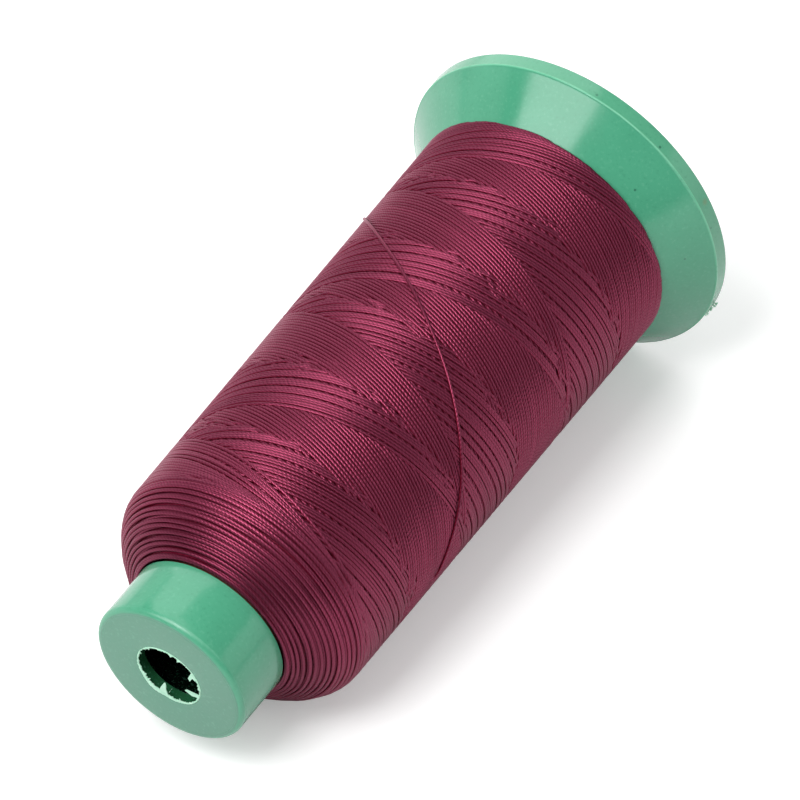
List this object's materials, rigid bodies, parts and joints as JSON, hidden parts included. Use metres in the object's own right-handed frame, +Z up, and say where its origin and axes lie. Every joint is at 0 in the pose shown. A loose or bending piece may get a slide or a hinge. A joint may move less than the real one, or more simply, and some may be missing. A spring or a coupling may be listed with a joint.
{
  "type": "waxed thread spool",
  "caption": "Spool of waxed thread lying on its side: moulded plastic spool with a conical base, cross-wound thread with a rounded shoulder, and a bare collar with a spindle hole.",
  "frame": {"origin": "on the table, under the middle of the object's outline", "axes": "+Z up. The spool's nose points along -Y, tipped down a few degrees, because the spool lies on the rim of its base and on the shoulder of the thread."},
  "size_m": [0.0738, 0.1514, 0.0738],
  "materials": {
    "green_plastic": "moulded, semi-gloss",
    "burgundy_thread": "twisted thread with a waxy sheen"
  },
  "bodies": {
    "root": {"spool_body": "green_plastic", "thread_inner_layers": "burgundy_thread", "thread_outer_turns": "burgundy_thread", "thread_last_strand": "burgundy_thread"}
  },
  "joints": []
}
